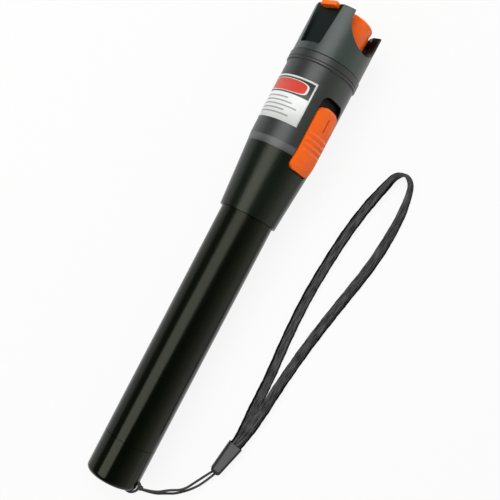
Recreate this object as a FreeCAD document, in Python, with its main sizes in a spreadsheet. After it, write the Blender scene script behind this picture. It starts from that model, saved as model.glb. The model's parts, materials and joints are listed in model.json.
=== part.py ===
"""Pen-type visual fault locator with a 2.5 mm ferrule port, a hinged dust cap and a wrist strap.

The pen's own frame has its axis along local Z, from the tail cap (0) to the head, local +X towards
the slide switch and local +Y towards the dust cap's hinge. Each piece of the pen is drawn in that
frame and takes the pen's placement: lying on the floor on its tail rim and its collar ring.
"""

import FreeCAD, Part
import math
import os
import re

import Sketcher

# Driving sizes in millimetres and degrees: alias, value, meaning.
SIZES = [
    ("tube_wall", 2.1, "wall of the battery tube"),
    ("cell_room", 0.45, "room round the cells in the battery tube"),
    ("running_gap", 0.05, "radial clearance of everything that turns, slides or plugs in"),
    ("cut_over", 1.0, "how far a cut runs on past the faces it opens"),
    ("seam_gap", 0.15, "shadow gap between the tail cap and the tube"),
    ("cell_radius", 7.25, "AA cell"),
    ("cell_length", 50.5, "AA cell with its terminal"),
    ("terminal_radius", 2.75, "AA cell's raised terminal"),
    ("terminal_height", 1.0, "AA cell's raised terminal"),
    ("cap_length", 15.6, "outside length of the tail cap"),
    ("cap_floor", 7.1, "solid end of the tail cap"),
    ("cap_edge", 1.8, "rounding of the tail rim"),
    ("cap_spigot_length", 6.0, "male end of the tail cap inside the tube"),
    ("cap_spigot_wall", 1.4, "wall of the tail cap's male end"),
    ("cap_bore_step", 0.25, "inside of the tail cap, narrower than the tube's"),
    ("seal_section", 0.42, "O-ring section radius"),
    ("seal_setback", 1.7, "O-ring groove's middle, in front of the seam"),
    ("contact_height", 6.0, "from the tail cap's floor to the cell, contact plate and spring"),
    ("contact_gap", 0.1, "free play of the cells"),
    ("plate_thickness", 0.5, "tail contact plate"),
    ("leaf_width", 5.0, "leaf spring"),
    ("leaf_thickness", 0.3, "leaf spring"),
    ("leaf_reach", 4.47, "leaf spring's bends, from the axis"),
    ("leaf_foot", 3.58, "leaf spring's foot, from the axis"),
    ("leaf_tip", 2.24, "leaf spring's tip, from the axis"),
    ("eye_radius", 0.95, "drilled holes of the strap eye"),
    ("eye_setback", 3.7, "side hole of the strap eye, from the tail end"),
    ("eye_inset", 3.45, "end hole of the strap eye, inside the tube's outside"),
    ("eye_depth", 4.0, "depth of the end hole of the strap eye"),
    ("eye_angle", 76, "strap eye, from straight up towards the strap"),
    ("button_thickness", 0.8, "front contact's head"),
    ("button_radius", 3.0, "front contact's head"),
    ("rivet_radius", 1.0, "front contact's shank"),
    ("rivet_head_radius", 1.9, "front contact's rivet head"),
    ("boss_length", 1.1, "carrier's boss inside the tube's front end"),
    ("tube_insert", 11.7, "length of the tube inside the cone"),
    ("cone_length", 24.1, "cone sleeve"),
    ("cone_lip", 0.93, "cone sleeve's open end, beyond the tube"),
    ("flange_step", 1.0, "cone sleeve's front bore, beyond the tube"),
    ("cone_wall", 1.7, "cone sleeve's wall at the barrel"),
    ("cone_edge", 0.4, "chamfer inside the cone's open end"),
    ("barrel_length", 30.9, "barrel housing from the cone to the collar"),
    ("bevel_rise", 0.3, "barrel housing beyond the cone sleeve"),
    ("barrel_wall", 1.65, "barrel housing's wall"),
    ("bevel_length", 2.6, "bevelled band at the barrel's lower end"),
    ("spigot_length", 7.0, "barrel's male end inside the cone"),
    ("spigot_step", 0.1, "inside of the barrel's male end, beyond the tube"),
    ("slot_half_width", 5.5, "switch slot"),
    ("slot_tail_reach", 4.4, "switch slot, below the barrel's lower end"),
    ("slot_head_reach", 23.2, "switch slot, above the barrel's lower end"),
    ("slot_corner", 2.6, "switch slot's corners"),
    ("slot_depth", 2.4, "black plate in the slot, below the barrel's outside"),
    ("slot_plate_thickness", 1.2, "black plate in the slot"),
    ("slider_length", 23.7, "switch slider"),
    ("slider_half_width", 5.0, "switch slider"),
    ("slider_setback", 3.8, "slider's lower end, below the barrel's lower end"),
    ("slider_travel", 3.0, "slider's stroke towards the head"),
    ("slider_rise", 1.0, "slider's crown, beyond the barrel"),
    ("slider_corner", 2.0, "slider's lower corners"),
    ("slider_arch", 3.4, "slider's upper corners"),
    ("rib_pitch", 2.0, "slider's cross ribs"),
    ("rib_height", 0.45, "slider's cross ribs"),
    ("rib_offset", 8.2, "first cross rib, from the slider's lower end"),
    ("rib_swell", 0.05, "cross ribs above the slider's crown"),
    ("heel_drop", 1.1, "slider's lower end, below its crown"),
    ("heel_length", 1.6, "slider's lower rounding"),
    ("shoulder_drop", 0.45, "top of the slider's lower rounding, below its crown"),
    ("brow_drop", 0.1, "slider before its crown"),
    ("brow_offset", 4.0, "slider before its crown, from its lower end"),
    ("nape_drop", 0.15, "slider beside its groove, below its crown"),
    ("toe_shoulder_drop", 0.35, "top of the slider's upper rounding, below its crown"),
    ("toe_length", 1.2, "slider's upper rounding"),
    ("toe_drop", 0.9, "slider's upper end, below its crown"),
    ("groove_half_width", 0.4, "slider's lengthwise groove"),
    ("groove_depth", 0.8, "slider's lengthwise groove"),
    ("groove_offset", 15.7, "groove's lower end, from the slider's lower end"),
    ("groove_length", 4.8, "slider's lengthwise groove"),
    ("lever_offset", 14.5, "switch lever, from the slider's lower end"),
    ("lever_half_size", 1.2, "switch lever"),
    ("lever_bottom", 4.9, "switch lever's foot, from the axis"),
    ("lever_cover", 1.9, "slider's crown over the switch lever's tip"),
    ("flange_length", 3.4, "carrier's flange against the tube's end"),
    ("carrier_end_gap", 7.9, "carrier's front end, behind the collar"),
    ("deck_offset", 2.0, "carrier's deck, from the axis"),
    ("end_block", 4.5, "carrier's solid blocks under the board's ends"),
    ("board_ledge", 1.3, "carrier's ledge under the board's edges"),
    ("trough_bottom", 6.0, "carrier's trough, below the axis"),
    ("board_thickness", 1.2, "driver board"),
    ("board_margin", 1.1, "driver board's edges, inside the barrel's male end"),
    ("board_end_gap", 0.5, "driver board's ends, inside the carrier"),
    ("screw_radius", 1.0, "board screws"),
    ("screw_head_radius", 1.9, "board screws"),
    ("screw_head_height", 1.1, "board screws"),
    ("screw_length", 5.0, "board screws' shank"),
    ("screw_offset", 5.0, "board screws, beside the axis"),
    ("chip_width", 4.0, "driver chip"),
    ("chip_length", 5.0, "driver chip"),
    ("chip_height", 1.4, "driver chip"),
    ("chip_offset", 4.2, "driver chip, beside the axis"),
    ("coil_radius", 2.6, "driver coil"),
    ("coil_height", 3.2, "driver coil"),
    ("coil_offset", 3.6, "driver coil, beside the axis"),
    ("row_margin", 2.0, "rows of small parts, from the board's edges"),
    ("row_start", 8.5, "first small part, from the chip's lower end"),
    ("row_pitch", 4.0, "from one small part to the next"),
    ("row_width", 1.3, "small parts"),
    ("row_length", 2.0, "small parts"),
    ("capacitor_height", 0.9, "capacitors"),
    ("resistor_height", 0.6, "resistors"),
    ("switch_height", 4.2, "slide switch body above the board"),
    ("switch_half_width", 3.0, "slide switch body"),
    ("switch_end_wall", 2.3, "slide switch body beyond its lever's stroke"),
    ("switch_floor", 1.5, "slide switch body under its lever"),
    ("collar_length", 3.5, "collar ring"),
    ("collar_rise", 0.5, "collar ring beyond the barrel"),
    ("collar_wall", 2.1, "wall of the collar ring's male ends"),
    ("collar_tail_spigot", 4.0, "collar ring's male end in the barrel"),
    ("collar_head_spigot", 3.0, "collar ring's male end in the head"),
    ("collar_edge", 0.25, "chamfer of the collar ring"),
    ("line_depth", 0.2, "thin groove round the collar ring"),
    ("line_setback", 0.9, "thin groove round the collar ring, from its lower end"),
    ("line_width", 0.3, "thin groove round the collar ring"),
    ("head_length", 18.3, "head shell"),
    ("head_rise", 0.2, "head shell beyond the barrel"),
    ("head_edge", 0.6, "rounding of the head's outer rim"),
    ("head_wall", 2.5, "head shell's wall round the well"),
    ("well_depth", 9.3, "well round the dust cap"),
    ("head_floor", 3.3, "floor under the well"),
    ("notch_radius", 8.9, "finger notches in the head's wall"),
    ("notch_rise", 1.9, "notches' centre, below the head's rim"),
    ("recess_depth", 1.8, "thumb recess under the dust cap's tab"),
    ("recess_top_half_width", 6.0, "thumb recess at the rim"),
    ("recess_low_half_width", 4.5, "thumb recess at its lower end"),
    ("recess_length", 15.5, "thumb recess, from the rim"),
    ("recess_corner", 0.8, "thumb recess's lower corners"),
    ("dust_gap", 1.7, "room between the dust cap and its well"),
    ("dust_depth", 8.8, "dust cap"),
    ("dust_wall", 1.2, "dust cap's skirt"),
    ("dust_top", 1.5, "dust cap's top"),
    ("dust_lip", 0.2, "dust cap's rim lip"),
    ("dust_lip_height", 0.7, "dust cap's rim lip"),
    ("dust_edge", 0.4, "chamfer at the dust cap's mouth"),
    ("tab_half_width", 3.5, "dust cap's tab"),
    ("tab_thickness", 1.5, "dust cap's tab"),
    ("tab_gap", 0.3, "clearance round the tab and the hinge knuckle"),
    ("pin_radius", 0.6, "hinge pin"),
    ("pin_half_length", 4.4, "hinge pin"),
    ("pin_inset", 0.7, "hinge pin, outside the well"),
    ("pin_setback", 1.3, "hinge pin, below the head's rim"),
    ("knuckle_radius", 1.25, "dust cap's knuckle"),
    ("knuckle_half_width", 2.8, "dust cap's knuckle"),
    ("slot_floor_gap", 0.45, "hinge slot below the knuckle"),
    ("pad_radius", 3.0, "soft pad inside the dust cap"),
    ("pad_thickness", 0.9, "soft pad inside the dust cap"),
    ("pad_gap", 0.3, "soft pad's clearance over the port"),
    ("port_radius", 4.0, "port's threaded shank"),
    ("port_nose_radius", 2.6, "port's nose round the ceramic sleeve"),
    ("port_flange_radius", 6.0, "port's flange"),
    ("port_flange_height", 0.9, "port's flange"),
    ("port_mouth_radius", 1.5, "port's mouth"),
    ("port_lip", 0.5, "port's lip over the ceramic sleeve"),
    ("port_shank", 6.8, "port's shank below the well's floor"),
    ("port_edge", 0.4, "chamfer of the port's mouth"),
    ("sleeve_bore", 1.25, "ceramic sleeve, for a 2.5 mm ferrule"),
    ("sleeve_radius", 1.8, "ceramic sleeve"),
    ("sleeve_length", 11.0, "ceramic sleeve"),
    ("nut_radius", 6.5, "port nut, across its corners"),
    ("nut_height", 2.5, "port nut"),
    ("lens_radius", 2.5, "collimator lens"),
    ("lens_thickness", 1.4, "collimator lens"),
    ("holder_radius", 5.0, "diode holder's nose"),
    ("holder_flange_height", 3.0, "diode holder's flange"),
    ("holder_flange_setback", 2.9, "diode holder's flange, behind the collar's lower end"),
    ("holder_tail", 3.5, "diode holder behind its flange"),
    ("can_radius", 2.8, "laser diode's flange"),
    ("can_cap_radius", 2.2, "laser diode's cap"),
    ("can_flange_height", 1.2, "laser diode's flange"),
    ("can_cap_height", 2.3, "laser diode's cap"),
    ("lead_radius", 0.25, "laser diode's leads"),
    ("lead_circle", 1.27, "laser diode's leads, from the axis"),
    ("switch_roll", 46, "slide switch, from straight up towards the strap"),
    ("loop_radius", 2.7, "cord loop through the strap eye"),
    ("loop_inset", 1.2, "cord loop's centre, inside the tube's outside"),
    ("loop_setback", 1.3, "cord loop's centre, from the tail end"),
    ("cord_radius", 0.45, "thin cord"),
    ("knot_radius", 1.0, "knot"),
    ("knot_rise", 1.3, "knot, beyond the tube"),
    ("knot_setback", 2.3, "knot, from the tail end"),
    ("strap_width", 4.1, "woven strap"),
    ("strap_thickness", 1.2, "woven strap"),
    ("ferrule_length", 12.8, "strap ferrule"),
    ("ferrule_thickness", 3.4, "strap ferrule"),
    ("ferrule_wide", 2.75, "strap ferrule's half width at the strap"),
    ("ferrule_narrow", 1.9, "strap ferrule's half width at the cord"),
    ("ferrule_wall", 0.4, "strap ferrule's wall round the strap"),
    ("ferrule_mouth", 4.0, "depth of the strap ferrule's mouth"),
    ("ferrule_corner", 1.3, "strap ferrule's narrow corners"),
    ("ferrule_edge", 0.35, "rounding along the strap ferrule's edges"),
]

# Stations along the axis and other sizes that follow from the driving ones.
DERIVED = [
    ("tube_bore", "cell_radius + cell_room"),
    ("tube_radius", "tube_bore + tube_wall"),
    ("cap_bore", "tube_bore - cap_bore_step"),
    ("spigot_radius", "cap_bore + cap_spigot_wall"),
    ("eye_pitch_radius", "tube_radius - eye_inset"),
    ("loop_offset", "tube_radius - loop_inset"),
    ("knot_offset", "tube_radius + knot_rise"),
    ("cone_small_radius", "tube_radius + cone_lip"),
    ("cone_bore", "tube_radius + flange_step"),
    ("cone_large_radius", "cone_bore + cone_wall"),
    ("spigot_bore", "tube_radius + spigot_step"),
    ("barrel_radius", "cone_large_radius + bevel_rise"),
    ("barrel_bore", "barrel_radius - barrel_wall"),
    ("slot_plate_top", "barrel_radius - slot_depth"),
    ("slot_plate_bottom", "slot_plate_top - slot_plate_thickness"),
    ("slider_crown", "barrel_radius + slider_rise"),
    ("lever_top", "slider_crown - lever_cover"),
    ("board_half_width", "spigot_bore - board_margin"),
    ("trough_half_width", "board_half_width - board_ledge"),
    ("collar_radius", "barrel_radius + collar_rise"),
    ("collar_spigot", "barrel_bore - running_gap"),
    ("collar_bore", "collar_spigot - collar_wall"),
    ("head_radius", "barrel_radius + head_rise"),
    ("well_radius", "head_radius - head_wall"),
    ("dust_radius", "well_radius - dust_gap"),
    ("tab_reach", "head_radius"),
    ("pin_offset", "well_radius + pin_inset"),
    ("z_cap_spigot", "cap_length + cap_spigot_length"),
    ("z_cell", "cap_floor + contact_height + contact_gap"),
    ("z_cell_two", "z_cell + cell_length"),
    ("z_front", "z_cell_two + cell_length"),
    ("z_boss", "z_front + button_thickness"),
    ("z_tube_end", "z_boss + boss_length"),
    ("z_cone", "z_tube_end - tube_insert"),
    ("z_barrel", "z_cone + cone_length"),
    ("z_collar", "z_barrel + barrel_length"),
    ("z_head", "z_collar + collar_length"),
    ("z_rim", "z_head + head_length"),
    ("z_well", "z_rim - well_depth"),
    ("z_floor", "z_well - head_floor"),
    ("z_pin", "z_rim - pin_setback"),
    ("z_slot_low", "z_barrel - slot_tail_reach"),
    ("z_slot_high", "z_barrel + slot_head_reach"),
    ("z_slider", "z_barrel - slider_setback"),
    ("z_lever", "z_slider + lever_offset"),
    ("z_deck", "z_tube_end + flange_length"),
    ("z_carrier", "z_collar - carrier_end_gap"),
    ("deck_top", "deck_offset + board_thickness"),
    ("z_dust", "z_rim - dust_depth"),
    ("z_ceiling", "z_rim - dust_top"),
    ("z_port", "z_ceiling - pad_thickness - pad_gap"),
    ("z_shank", "z_well - port_shank"),
    ("z_sleeve", "z_port - port_lip - sleeve_length"),
    ("z_flange", "z_collar - holder_flange_setback"),
    ("z_can", "z_flange - holder_tail + can_flange_height"),
    ("z_lens", "z_shank - lens_thickness"),
]

DERIVED_BY_NAME = dict(DERIVED)
ALIASES = {alias for alias, _, _ in SIZES}

doc = FreeCAD.newDocument("visual_fault_locator")
sheet = doc.addObject("Spreadsheet::Sheet", "Sizes")
for row, (alias, number, meaning) in enumerate(SIZES, start=1):
    sheet.set(f"A{row}", meaning)
    sheet.set(f"B{row}", str(number))
    sheet.setAlias(f"B{row}", alias)
doc.recompute()

pieces = []


def bound(text):
    """An expression on the sheet's cells, from one in plain size names."""

    def replace(match):
        word = match.group(0)
        if word in DERIVED_BY_NAME:
            return "(" + bound(DERIVED_BY_NAME[word]) + ")"
        return "Sizes." + word if word in ALIASES else word

    return re.sub(r"[a-z_]+", replace, str(text))


def size(text):
    """The number that an expression in plain size names has now."""
    result = sheet.evalExpression(bound(text))
    return float(getattr(result, "Value", result))


def vector(*texts):
    return FreeCAD.Vector(*[size(text) for text in texts])


# --- the pen's placement -------------------------------------------------------------------------

TILT = math.atan2(
    size("collar_radius - tube_radius"), size("z_collar + collar_edge - cap_edge")
)
CENTRE_FROM_TAIL = (
    size("z_rim") * math.cos(TILT) + size("head_radius - tube_radius") * math.sin(TILT)
) / 2
AXIS_HEIGHT_AT_TAIL = size("tube_radius") * math.cos(TILT) - size("cap_edge") * math.sin(TILT)


def pen_placement(roll):
    """The pen's placement, with local +X turned by roll degrees from up towards the strap."""
    lying = FreeCAD.Rotation(FreeCAD.Vector(0, 1, 0), 90 - math.degrees(TILT))
    rolled = FreeCAD.Rotation(FreeCAD.Vector(0, 0, 1), 180 + roll)
    tail = FreeCAD.Vector(-CENTRE_FROM_TAIL, 0, AXIS_HEIGHT_AT_TAIL)
    return FreeCAD.Placement(tail, lying.multiply(rolled))


PEN = pen_placement(size("switch_roll"))
EYE = pen_placement(size("eye_angle"))


# --- sketches and features -----------------------------------------------------------------------


def new_body(label, placement=PEN):
    body = doc.addObject("PartDesign::Body", label)
    body.Label = label
    body.Placement = placement
    pieces.append(body)
    return body


def new_sketch(body, plane_role, offset="0"):
    """A sketch on one of the body's own origin planes, moved along its normal by offset."""
    sketch = body.newObject("Sketcher::SketchObject", body.Name + "_sketch")
    plane = next(f for f in body.Origin.OriginFeatures if f.Role == plane_role)
    sketch.AttachmentSupport = [(plane, "")]
    sketch.MapMode = "FlatFace"
    if offset != "0":
        sketch.setExpression("AttachmentOffset.Base.z", bound(offset))
    return sketch


def fix_coordinate(sketch, kind, geometry, point, text):
    """Holds one coordinate of a sketch point at an expression."""
    number = size(text)
    if abs(number) < 1e-9:
        axis = -2 if kind == "DistanceX" else -1
        sketch.addConstraint(Sketcher.Constraint("PointOnObject", geometry, point, axis))
        return
    ends = (-1, 1, geometry, point) if number > 0 else (geometry, point, -1, 1)
    index = sketch.addConstraint(Sketcher.Constraint(kind, *ends, abs(number)))
    sign = "" if number > 0 else "-1 * "
    sketch.setExpression(f"Constraints[{index}]", f"{sign}({bound(text)})")


def add_polygon(sketch, corners):
    """A closed outline of straight edges through corners, each a pair of expressions."""
    first, count = sketch.GeometryCount, len(corners)
    points = [vector(across, along, "0") for across, along in corners]
    for i in range(count):
        sketch.addGeometry(Part.LineSegment(points[i], points[(i + 1) % count]), False)
    for i in range(count):
        following = first + (i + 1) % count
        sketch.addConstraint(Sketcher.Constraint("Coincident", first + i, 2, following, 1))
    for i, (across, along) in enumerate(corners):
        fix_coordinate(sketch, "DistanceX", first + i, 1, across)
        fix_coordinate(sketch, "DistanceY", first + i, 1, along)


def add_circle(sketch, centre, radius):
    middle = vector(centre[0], centre[1], "0")
    index = sketch.addGeometry(Part.Circle(middle, FreeCAD.Vector(0, 0, 1), size(radius)), False)
    fix_coordinate(sketch, "DistanceX", index, 3, centre[0])
    fix_coordinate(sketch, "DistanceY", index, 3, centre[1])
    held = sketch.addConstraint(Sketcher.Constraint("Radius", index, size(radius)))
    sketch.setExpression(f"Constraints[{held}]", bound(radius))


def rectangle(low, high):
    return [(low[0], low[1]), (high[0], low[1]), (high[0], high[1]), (low[0], high[1])]


def revolve(body, corners):
    """Turns an outline of (radius, station) corners about the body's local Z axis."""
    sketch = new_sketch(body, "XZ_Plane")
    add_polygon(sketch, corners)
    doc.recompute()
    feature = body.newObject("PartDesign::Revolution", body.Name + "_turned")
    feature.Profile = (sketch, [""])
    feature.ReferenceAxis = (sketch, ["V_Axis"])
    feature.Angle = 360
    doc.recompute()
    return feature


def extrude(body, kind, sketch, length=None, symmetric=False, reversed_=False):
    """Pads or pockets a sketch by length, or through everything without one."""
    before = body.Shape.Volume if body.Tip else 0
    doc.recompute()
    feature = body.newObject("PartDesign::" + kind, body.Name + "_" + kind.lower())
    feature.Profile = (sketch, [""])
    feature.SideType = "Symmetric" if symmetric else "One side"
    feature.Reversed = reversed_
    if length is None:
        feature.Type = "ThroughAll"
    else:
        feature.setExpression("Length", bound(length))
    doc.recompute()
    change = body.Shape.Volume - before
    if (kind == "Pad") != (change > 0):
        raise RuntimeError(f"{body.Label}: a {kind} changed the volume by {change:.3f}")
    return feature


def pocket_polygon(body, plane_role, corners, offset="0", **options):
    sketch = new_sketch(body, plane_role, offset)
    add_polygon(sketch, corners)
    return extrude(body, "Pocket", sketch, **options)


def pocket_circle(body, plane_role, centre, radius, offset="0", **options):
    sketch = new_sketch(body, plane_role, offset)
    add_circle(sketch, centre, radius)
    return extrude(body, "Pocket", sketch, **options)


def pad_polygon(body, plane_role, corners, offset="0", **options):
    sketch = new_sketch(body, plane_role, offset)
    add_polygon(sketch, corners)
    return extrude(body, "Pad", sketch, **options)


def blend(body, kind, amount, chosen):
    """Rounds or chamfers the edges of the body's tip that chosen picks by their geometry."""
    base = body.Tip
    names = [
        f"Edge{i}" for i, edge in enumerate(base.Shape.Edges, start=1) if chosen(edge)
    ]
    if not names:
        raise RuntimeError(f"{body.Label}: no edge to blend")
    feature = body.newObject("PartDesign::" + kind, body.Name + "_" + kind.lower())
    feature.Base = (base, names)
    feature.setExpression("Radius" if kind == "Fillet" else "Size", bound(amount))
    doc.recompute()
    return feature


def along(edge, direction, at=None):
    """True for a straight edge along a direction, at the given (index, expression) places."""
    if edge.Curve.TypeId != "Part::GeomLine":
        return False
    if abs(abs(edge.Curve.Direction.dot(direction)) - 1) > 1e-6:
        return False
    middle = edge.CenterOfMass
    return all(abs(middle[i] - size(text)) < 1e-4 for i, text in at or [])


def ring_at(edge, radius, station):
    """True for a whole circular edge about the axis at a radius and a station."""
    curve = edge.Curve
    return (
        curve.TypeId == "Part::GeomCircle"
        and abs(curve.Radius - size(radius)) < 1e-4
        and abs(edge.CenterOfMass.z - size(station)) < 1e-4
        and edge.isClosed()
    )


X, Y, Z = FreeCAD.Vector(1, 0, 0), FreeCAD.Vector(0, 1, 0), FreeCAD.Vector(0, 0, 1)


def feature_from_shape(label, shape, placement=None):
    """A Part::Feature for a form that neither a body nor a primitive makes."""
    piece = doc.addObject("Part::Feature", label)
    piece.Label = label
    piece.Shape = shape
    piece.Placement = placement or FreeCAD.Placement()
    pieces.append(piece)
    return piece


# --- tail cap and battery tube -------------------------------------------------------------------


def make_tail_cap():
    body = new_body("tail_cap", EYE)
    groove_low = "cap_length + seal_setback - seal_section - running_gap"
    groove_high = "cap_length + seal_setback + seal_section + running_gap"
    groove_floor = "spigot_radius - 2 * seal_section - running_gap / 2"
    revolve(body, [
        ("0", "0"),
        ("tube_radius", "0"),
        ("tube_radius", "cap_length"),
        ("spigot_radius", "cap_length"),
        ("spigot_radius", groove_low),
        (groove_floor, groove_low),
        (groove_floor, groove_high),
        ("spigot_radius", groove_high),
        ("spigot_radius", "z_cap_spigot"),
        ("cap_bore", "z_cap_spigot"),
        ("cap_bore", "cap_floor"),
        ("0", "cap_floor"),
    ])
    blend(body, "Fillet", "cap_edge", lambda e: ring_at(e, "tube_radius", "0"))
    pocket_circle(body, "YZ_Plane", ("0", "eye_setback"), "eye_radius", "eye_pitch_radius",
                  reversed_=True)
    pocket_circle(body, "XY_Plane", ("eye_pitch_radius", "0"), "eye_radius", length="eye_depth",
                  reversed_=True)


def make_tail_seal():
    ring = doc.addObject("Part::Torus", "tail_seal")
    ring.Label = "tail_seal"
    ring.setExpression("Radius1", bound("spigot_radius - seal_section"))
    ring.setExpression("Radius2", bound("seal_section"))
    station = FreeCAD.Placement(vector("0", "0", "cap_length + seal_setback"), FreeCAD.Rotation())
    ring.Placement = EYE.multiply(station)
    pieces.append(ring)


def make_tail_contact():
    plate = new_body("contact_plate")
    revolve(plate, rectangle(("0", "cap_floor + running_gap"),
                             ("cap_bore - 5 * running_gap", "cap_floor + plate_thickness")))
    low = size("cap_floor + plate_thickness + leaf_thickness / 2")
    high = size("cap_floor + contact_height - leaf_thickness / 2")
    reach, middle = size("leaf_reach"), (low + high) / 2
    route = [
        (-size("leaf_foot"), 0, low), (reach, 0, low), (reach, 0, middle),
        (-reach, 0, middle), (-reach, 0, high), (size("leaf_tip"), 0, high),
    ]
    leaf = swept(route, flat_section(size("leaf_thickness"), size("leaf_width")), Y)
    feature_from_shape("contact_spring", leaf, PEN)


def make_tube():
    body = new_body("battery_tube")
    seat = "spigot_radius + running_gap"
    revolve(body, [
        ("tube_radius", "cap_length + seam_gap"),
        ("tube_radius", "z_tube_end"),
        ("tube_bore", "z_tube_end"),
        ("tube_bore", "z_cap_spigot + seam_gap"),
        (seat, "z_cap_spigot + seam_gap"),
        (seat, "cap_length + seam_gap"),
    ])


def make_cells():
    for label, station in (("battery_rear", "z_cell"), ("battery_front", "z_cell_two")):
        shoulder = f"{station} + cell_length - terminal_height"
        body = new_body(label)
        revolve(body, [
            ("0", station),
            ("cell_radius", station),
            ("cell_radius", shoulder),
            ("terminal_radius", shoulder),
            ("terminal_radius", f"{station} + cell_length"),
            ("0", f"{station} + cell_length"),
        ])


# --- cone, barrel and slide switch ---------------------------------------------------------------


def slot_window(low, high, half_width="slot_half_width"):
    return rectangle((f"-1 * {half_width}", low), (half_width, high))


def make_cone():
    body = new_body("cone_sleeve")
    mouth = "tube_radius + running_gap"
    revolve(body, [
        ("cone_small_radius", "z_cone"),
        ("cone_large_radius", "z_barrel"),
        ("cone_bore", "z_barrel"),
        ("cone_bore", "z_tube_end"),
        (mouth, "z_tube_end"),
        (mouth, "z_cone + cone_edge"),
        (f"{mouth} + cone_edge", "z_cone"),
    ])
    pocket_polygon(body, "YZ_Plane", slot_window("z_slot_low", "z_barrel + slot_tail_reach"),
                   reversed_=True)
    blend(body, "Fillet", "slot_corner - 4 * running_gap", lambda e: along(e, X, [(2, "z_slot_low")]))


def make_barrel():
    body = new_body("barrel_housing")
    spigot = "cone_bore - running_gap"
    revolve(body, [
        (spigot, "z_barrel - spigot_length"),
        (spigot, "z_barrel"),
        ("cone_large_radius", "z_barrel"),
        ("barrel_radius", "z_barrel + bevel_length"),
        ("barrel_radius", "z_collar"),
        ("barrel_bore", "z_collar"),
        ("barrel_bore", "z_barrel + bevel_length"),
        ("spigot_bore", "z_barrel + bevel_length / 2"),
        ("spigot_bore", "z_barrel - spigot_length"),
    ])
    pocket_polygon(body, "YZ_Plane", slot_window("z_slot_low", "z_slot_high"), reversed_=True)
    blend(body, "Fillet", "slot_corner", lambda e: along(e, X, [(2, "z_slot_high")]))


def make_slot_plate():
    body = new_body("slot_plate")
    pad_polygon(
        body, "YZ_Plane",
        slot_window("z_slot_low + running_gap", "z_slot_high - running_gap",
                    "(slot_half_width - running_gap)"),
        "slot_plate_bottom", length="slot_plate_top - slot_plate_bottom")
    gap = "lever_half_size + 6 * running_gap"
    pocket_polygon(
        body, "YZ_Plane",
        slot_window(f"z_lever - ({gap})", f"z_lever + slider_travel + {gap}", f"({gap})"),
        reversed_=True)
    blend(body, "Fillet", "slot_corner",
          lambda e: along(e, X) and abs(e.CenterOfMass.y) > size("slot_half_width - 2 * running_gap"))


def make_slider():
    """The moulded thumb slider: a crowned bar with ribs, a thumb dip and a lengthwise groove."""
    body = new_body("switch_slider")
    crown = "slider_crown"
    profile = [
        ("slot_plate_bottom", "z_slider"),
        (f"{crown} - heel_drop", "z_slider"),
        (f"{crown} - shoulder_drop", "z_slider + heel_length"),
        (f"{crown} - brow_drop", "z_slider + brow_offset"),
        (crown, "z_slider + rib_offset - rib_pitch / 2"),
    ]
    for rib in range(3):
        foot = f"z_slider + rib_offset + {rib} * rib_pitch"
        profile += [
            (f"{crown} - rib_height", foot),
            (f"{crown} + rib_swell", f"{foot} + rib_pitch / 2"),
        ]
    profile += [
        (f"{crown} - rib_height", "z_slider + rib_offset + 3 * rib_pitch"),
        (f"{crown} - rib_height / 2", "z_slider + groove_offset"),
        (f"{crown} - nape_drop", "z_slider + groove_offset + groove_length / 3"),
        (f"{crown} - toe_shoulder_drop", "z_slider + slider_length - toe_length"),
        (f"{crown} - toe_drop", "z_slider + slider_length"),
        ("slot_plate_bottom", "z_slider + slider_length"),
    ]
    revolve(body, profile)
    underside = "slot_plate_top + running_gap"
    outer = "2 * collar_radius"
    sides = new_sketch(body, "YZ_Plane")
    add_polygon(sides, rectangle((f"-{outer}", "z_slider - rib_pitch"),
                                 (outer, "z_slider + slider_length + rib_pitch")))
    add_polygon(sides, rectangle(("-1 * slider_half_width", "z_slider"),
                                 ("slider_half_width", "z_slider + slider_length")))
    extrude(body, "Pocket", sides, symmetric=True)
    pocket_polygon(body, "XZ_Plane", rectangle((f"-{outer}", "z_slider - rib_pitch"),
                                               (underside, "z_slider + slider_length + rib_pitch")),
                   symmetric=True)
    blend(body, "Fillet", "slider_corner", lambda e: along(e, X, [(2, "z_slider")]))
    blend(body, "Fillet", "slider_arch",
          lambda e: along(e, X, [(2, "z_slider + slider_length")]))
    groove_low = "z_slider + groove_offset"
    pocket_polygon(body, "YZ_Plane",
                   rectangle(("-1 * groove_half_width", groove_low),
                             ("groove_half_width", f"{groove_low} + groove_length")),
                   f"{crown} - groove_depth", reversed_=True)
    socket = "lever_half_size + running_gap"
    pocket_polygon(body, "YZ_Plane",
                   rectangle((f"-({socket})", f"z_lever - ({socket})"),
                             (socket, f"z_lever + {socket}")),
                   "lever_top + running_gap")


def make_lever():
    body = new_body("switch_lever")
    pad_polygon(body, "YZ_Plane",
                rectangle(("-1 * lever_half_size", "z_lever - lever_half_size"),
                          ("lever_half_size", "z_lever + lever_half_size")),
                "lever_bottom", length="lever_top - lever_bottom")


def make_switch_body():
    body = new_body("slide_switch")
    low = "z_lever - lever_half_size - switch_end_wall"
    high = "z_lever + slider_travel + lever_half_size + switch_end_wall"
    pad_polygon(body, "YZ_Plane",
                rectangle(("-1 * switch_half_width", low), ("switch_half_width", high)),
                "deck_top", length="switch_height")
    gap = "lever_half_size + 2 * running_gap"
    pocket_polygon(body, "YZ_Plane",
                   slot_window(f"z_lever - ({gap})", f"z_lever + slider_travel + {gap}", f"({gap})"),
                   "deck_top + switch_floor", reversed_=True)


# --- carrier, board and contacts -----------------------------------------------------------------


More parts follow.
